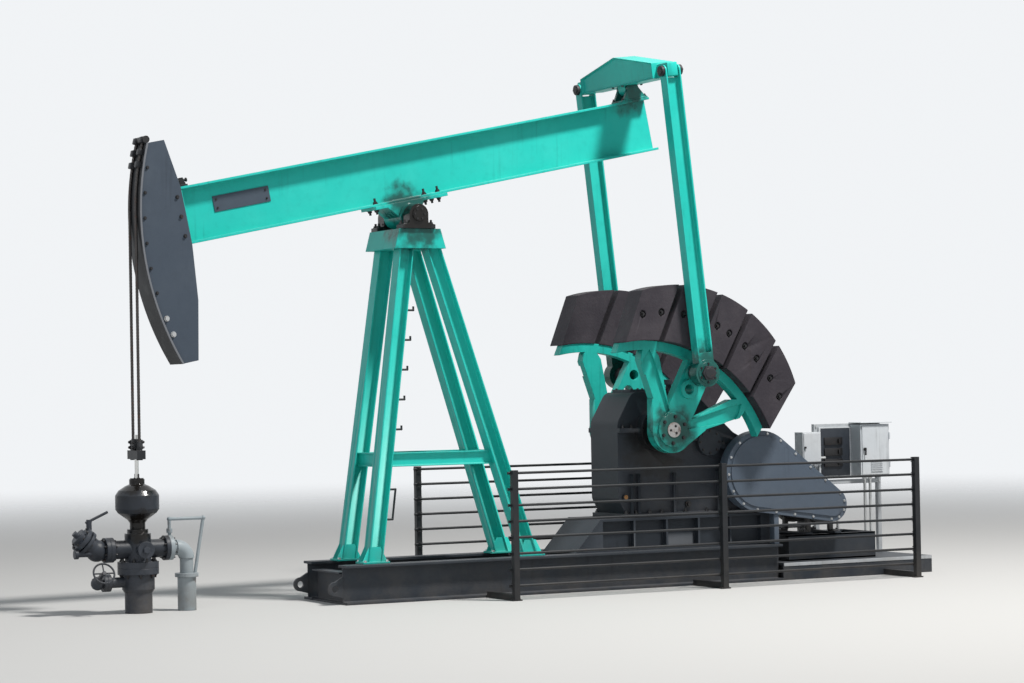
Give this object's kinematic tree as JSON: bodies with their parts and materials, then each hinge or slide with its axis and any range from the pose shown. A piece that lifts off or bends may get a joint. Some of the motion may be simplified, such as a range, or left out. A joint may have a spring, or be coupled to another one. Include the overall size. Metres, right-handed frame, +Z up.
{
  "type": "beam pumping unit",
  "caption": "Oil well beam pump: a rocking beam with a curved head lifts a polished rod, driven by two weighted cranks on a gear reducer and skid.",
  "frame": {"origin": "on the ground plane under the beam pivot, midway between the skid runners", "axes": "+X from the horsehead towards the tail, +Z up, -Y the side the picture shows"},
  "size_m": [7.9967, 1.91, 4.6991],
  "materials": {
    "teal_paint": "satin",
    "bare_steel": "satin",
    "light_grey_paint": "satin",
    "guard_paint": "satin",
    "riser_paint": "satin",
    "cast_black": "matte",
    "charcoal_paint": "satin"
  },
  "bodies": {
    "base": {"skid_runners": "charcoal_paint", "cross_beams": "charcoal_paint", "rear_frame": "charcoal_paint", "pull_lugs": "charcoal_paint", "front_legs": "teal_paint", "rear_legs": "teal_paint", "leg_ties": "teal_paint", "post_cap": "teal_paint", "leg_steps": "charcoal_paint", "centre_bearing": "charcoal_paint", "pedestal": "charcoal_paint", "gear_reducer": "charcoal_paint", "belt_guard": "guard_paint", "motor_stand": "charcoal_paint", "motor": "charcoal_paint", "near_guard": "charcoal_paint", "far_guard": "charcoal_paint", "guard_feet": "charcoal_paint", "control_stand": "light_grey_paint", "control_cabinet": "light_grey_paint", "casing_head": "cast_black", "pumping_tee": "cast_black", "stuffing_box": "cast_black", "wing_valve": "cast_black", "flowline_riser": "riser_paint"},
    "cranks": {"crankshaft": "bare_steel", "near_crank": "teal_paint", "far_crank": "teal_paint", "near_weights": "cast_black", "far_weights": "cast_black"},
    "beam": {"saddle": "teal_paint", "walking_beam": "teal_paint", "beam_plate": "charcoal_paint", "horsehead": "charcoal_paint", "head_latch": "charcoal_paint", "bridle_wrap": "bare_steel", "tail_stand": "teal_paint"},
    "pitmans": {"equalizer": "teal_paint", "near_pitman": "teal_paint", "far_pitman": "teal_paint", "pitman_pins": "cast_black"},
    "rod": {"bridle_lines": "bare_steel", "carrier_bar": "charcoal_paint", "rod_clamp": "cast_black", "polished_rod": "bare_steel"}
  },
  "joints": [
    {"name": "crank_turn", "type": "hinge", "parent": "base", "child": "cranks", "pos_m": [2.27, 0, 1.36], "axis": [0, 1, 0], "range_deg": [0, 162.19]},
    {"name": "beam_rock", "type": "hinge", "parent": "base", "child": "beam", "pos_m": [0, 0, 3.21], "axis": [0, 1, 0], "range_deg": [0, 24.31]},
    {"name": "pitman_swing", "type": "hinge", "parent": "beam", "child": "pitmans", "pos_m": [2.20691, 0, 4.36397], "axis": [0, 1, 0], "range_deg": [-11.81, 0]},
    {"name": "rod_lift", "type": "slide", "parent": "base", "child": "rod", "axis": [0, 0, 1], "range_m": [0, 1.01], "deforming": ["bridle_lines"]}
  ],
  "couplings": [
    {"joint": "beam_rock", "follows": "crank_turn", "ratio": 0.14984},
    {"joint": "pitman_swing", "follows": "crank_turn", "ratio": -0.072753},
    {"joint": "rod_lift", "follows": "crank_turn", "m_per_rad": 0.35661}
  ]
}
